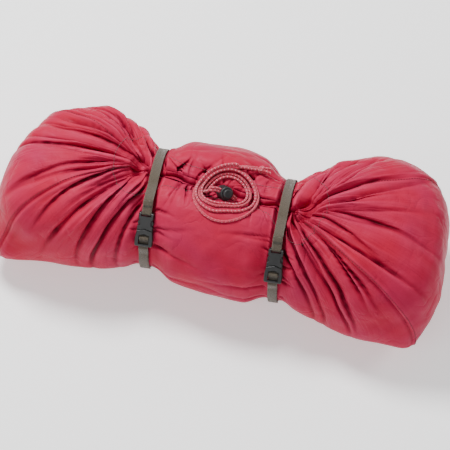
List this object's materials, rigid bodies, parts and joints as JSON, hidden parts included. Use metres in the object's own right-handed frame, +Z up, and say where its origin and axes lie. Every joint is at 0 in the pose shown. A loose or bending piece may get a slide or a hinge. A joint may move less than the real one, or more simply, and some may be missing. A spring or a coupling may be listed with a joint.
{
  "type": "stuff sack",
  "caption": "Packed drawcord stuff sack lying on its side, its top mouth gathered shut, held by webbing straps with side-release buckles.",
  "frame": {"origin": "middle of the rest face, under the middle of the bag's outline", "axes": "+X along the bag to its right end, +Y to the back away from the buckles, +Z up through the gathered mouth"},
  "size_m": [0.471, 0.1774, 0.1495],
  "materials": {
    "shell_fabric": "coated ripstop nylon, satin sheen",
    "hem_fabric": "coated ripstop nylon, gathered hem",
    "contents": "matt packed cloth",
    "drawcord": "braided cord with pale flecks",
    "cordlock_plastic": "moulded, fine texture",
    "spring": "drawn wire",
    "buckle_plastic": "moulded acetal, satin",
    "webbing": "flat nylon webbing",
    "thread": "bonded thread"
  },
  "bodies": {
    "sack": {"body_panel": "shell_fabric", "cordlock_barrel": "cordlock_plastic", "cordlock_spring": "spring", "drawcord_coil": "drawcord", "drawcord_knot": "drawcord", "drawcord_loop": "drawcord", "drawcord_strand_a": "drawcord", "drawcord_strand_b": "drawcord", "drawcord_tail_a": "drawcord", "drawcord_tail_b": "drawcord", "drawcord_tip_a": "drawcord", "drawcord_tip_b": "drawcord", "left_buckle_socket": "buckle_plastic", "left_end_panel": "shell_fabric", "left_loop_stitch": "thread", "left_strap": "webbing", "left_strap_anchor": "webbing", "left_strap_end": "webbing", "mouth_casing": "hem_fabric", "packed_contents": "contents", "right_buckle_socket": "buckle_plastic", "right_end_panel": "shell_fabric", "right_loop_stitch": "thread", "right_strap": "webbing", "right_strap_anchor": "webbing", "right_strap_end": "webbing"},
    "cordlock_button": {"cordlock_plunger": "cordlock_plastic"},
    "left_plug": {"left_buckle_plug": "buckle_plastic"},
    "left_arm_a": {"left_buckle_arm_a": "buckle_plastic"},
    "left_arm_b": {"left_buckle_arm_b": "buckle_plastic"},
    "right_plug": {"right_buckle_plug": "buckle_plastic"},
    "right_arm_a": {"right_buckle_arm_a": "buckle_plastic"},
    "right_arm_b": {"right_buckle_arm_b": "buckle_plastic"}
  },
  "joints": [
    {"name": "left_release", "type": "slide", "parent": "sack", "child": "left_plug", "axis": [0.0552, -0.657, -0.7519], "range_m": [0, 0.014], "deforming": ["left_strap_end", "left_buckle_arm_a", "left_buckle_arm_b"]},
    {"name": "left_squeeze_a", "type": "hinge", "parent": "left_plug", "child": "left_arm_a", "pos_m": [-0.07037, -0.05914, 0.10273], "axis": [-0.0629, 0.7493, -0.6593], "range_deg": [0, 8], "stiffness_Nm_per_rad": 0.05, "springref_deg": -2.86},
    {"name": "left_squeeze_b", "type": "hinge", "parent": "left_plug", "child": "left_arm_b", "pos_m": [-0.0606, -0.05832, 0.10273], "axis": [0.0629, -0.7493, 0.6593], "range_deg": [0, 8], "stiffness_Nm_per_rad": 0.05, "springref_deg": -2.86},
    {"name": "right_release", "type": "slide", "parent": "sack", "child": "right_plug", "axis": [0.0539, -0.6418, -0.765], "range_m": [0, 0.014], "deforming": ["right_strap_end", "right_buckle_arm_a", "right_buckle_arm_b"]},
    {"name": "right_squeeze_a", "type": "hinge", "parent": "right_plug", "child": "right_arm_a", "pos_m": [0.06888, -0.06608, 0.10103], "axis": [-0.064, 0.7623, -0.644], "range_deg": [0, 8], "stiffness_Nm_per_rad": 0.05, "springref_deg": -2.86},
    {"name": "right_squeeze_b", "type": "hinge", "parent": "right_plug", "child": "right_arm_b", "pos_m": [0.07864, -0.06526, 0.10103], "axis": [0.064, -0.7623, 0.644], "range_deg": [0, 8], "stiffness_Nm_per_rad": 0.05, "springref_deg": -2.86},
    {"name": "cordlock_press", "type": "slide", "parent": "sack", "child": "cordlock_button", "axis": [-0.5272, 0.5213, -0.671], "range_m": [0, 0.0032], "stiffness_N_per_m": 800, "springref_m": -0.004, "deforming": ["cordlock_spring"]}
  ],
  "couplings": [
    {"joint": "left_squeeze_b", "follows": "left_squeeze_a", "ratio": 1},
    {"joint": "right_squeeze_b", "follows": "right_squeeze_a", "ratio": 1}
  ]
}
